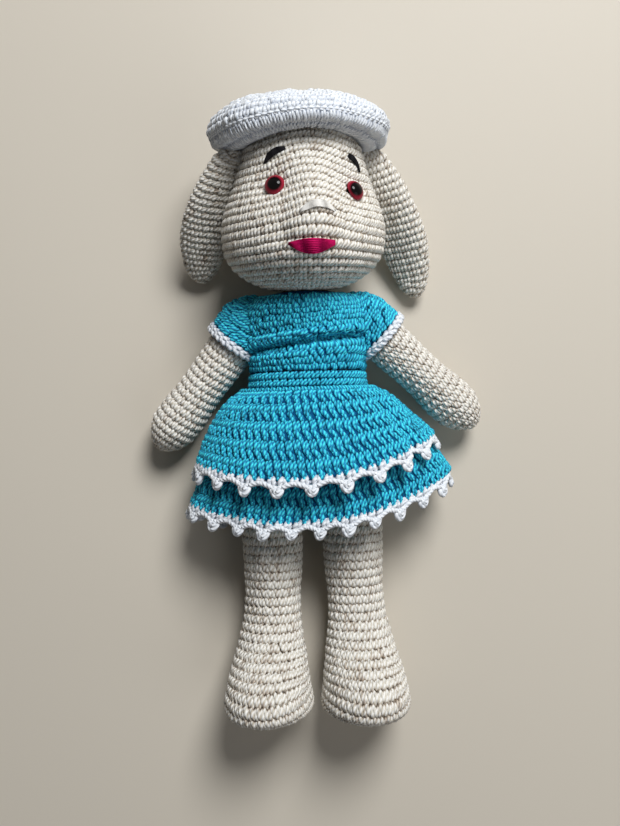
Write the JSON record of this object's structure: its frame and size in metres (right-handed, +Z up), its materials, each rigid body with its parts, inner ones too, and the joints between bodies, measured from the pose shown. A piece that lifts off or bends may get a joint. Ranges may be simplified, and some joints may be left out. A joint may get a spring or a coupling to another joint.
{
  "type": "crocheted rabbit doll",
  "caption": "Stuffed crochet rabbit doll with lop ears, a beret and a double-skirted dress, lying on its back; the head, hat, ears, arms and legs move.",
  "frame": {"origin": "middle of the overskirt's flat back, on the surface that the doll lies on", "axes": "+X to the doll's own left, +Y from its feet to its head, +Z up from the surface"},
  "size_m": [0.146, 0.2634, 0.0739],
  "materials": {
    "cream_yarn": "matte crochet",
    "white_yarn": "matte crochet",
    "turquoise_yarn": "matte crochet",
    "magenta_thread": "satin stitch",
    "black_thread": "satin stitch",
    "fibre_filling": "loose fibre",
    "eye_plastic": "polished",
    "washer_plastic": "moulded"
  },
  "bodies": {
    "torso": {"body_cover": "cream_yarn", "body_stuffing": "fibre_filling", "bodice": "turquoise_yarn", "waistband": "turquoise_yarn", "overskirt": "turquoise_yarn", "overskirt_trim": "white_yarn", "underskirt": "turquoise_yarn", "underskirt_trim": "white_yarn"},
    "head": {"head_cover": "cream_yarn", "head_stuffing": "fibre_filling", "left_eye": "eye_plastic", "right_eye": "eye_plastic", "left_eye_washer": "washer_plastic", "right_eye_washer": "washer_plastic", "left_eyebrow": "black_thread", "right_eyebrow": "black_thread", "nose": "cream_yarn", "mouth": "magenta_thread"},
    "hat": {"beret": "white_yarn"},
    "left_ear": {"left_ear": "cream_yarn"},
    "right_ear": {"right_ear": "cream_yarn"},
    "left_arm": {"left_arm_cover": "cream_yarn", "left_arm_stuffing": "fibre_filling", "left_sleeve": "turquoise_yarn", "left_sleeve_trim": "white_yarn"},
    "left_leg": {"left_leg_cover": "cream_yarn", "left_leg_stuffing": "fibre_filling"},
    "right_arm": {"right_arm_cover": "cream_yarn", "right_arm_stuffing": "fibre_filling", "right_sleeve": "turquoise_yarn", "right_sleeve_trim": "white_yarn"},
    "right_leg": {"right_leg_cover": "cream_yarn", "right_leg_stuffing": "fibre_filling"}
  },
  "joints": [
    {"name": "head_turn", "type": "hinge", "parent": "torso", "child": "head", "pos_m": [0, 0.0589, 0.03099], "axis": [0, 0.9945, 0.1045], "range_deg": [-42, 18]},
    {"name": "hat_lift", "type": "slide", "parent": "head", "child": "hat", "axis": [0, 0.9945, 0.1045], "range_m": [0, 0.05]},
    {"name": "left_ear_lift", "type": "hinge", "parent": "head", "child": "left_ear", "pos_m": [0.02915, 0.11375, 0.03053], "axis": [-0.5116, -0.5188, 0.6849], "range_deg": [0, 35]},
    {"name": "right_ear_lift", "type": "hinge", "parent": "head", "child": "right_ear", "pos_m": [-0.02915, 0.11245, 0.04285], "axis": [-0.7813, 0.5633, -0.2689], "range_deg": [0, 50]},
    {"name": "left_arm_swing", "type": "hinge", "parent": "torso", "child": "left_arm", "pos_m": [0.0255, 0.0466, 0.0214], "axis": [0, 0, 1], "range_deg": [-4, 20]},
    {"name": "right_arm_swing", "type": "hinge", "parent": "torso", "child": "right_arm", "pos_m": [-0.0255, 0.0466, 0.0214], "axis": [0, 0, -1], "range_deg": [0, 28]},
    {"name": "left_leg_lift", "type": "hinge", "parent": "torso", "child": "left_leg", "pos_m": [0.0179, -0.0159, 0.0183], "axis": [-1, 0, 0], "range_deg": [0, 30]},
    {"name": "right_leg_lift", "type": "hinge", "parent": "torso", "child": "right_leg", "pos_m": [-0.0179, -0.0159, 0.0183], "axis": [-1, 0, 0], "range_deg": [0, 30]}
  ]
}
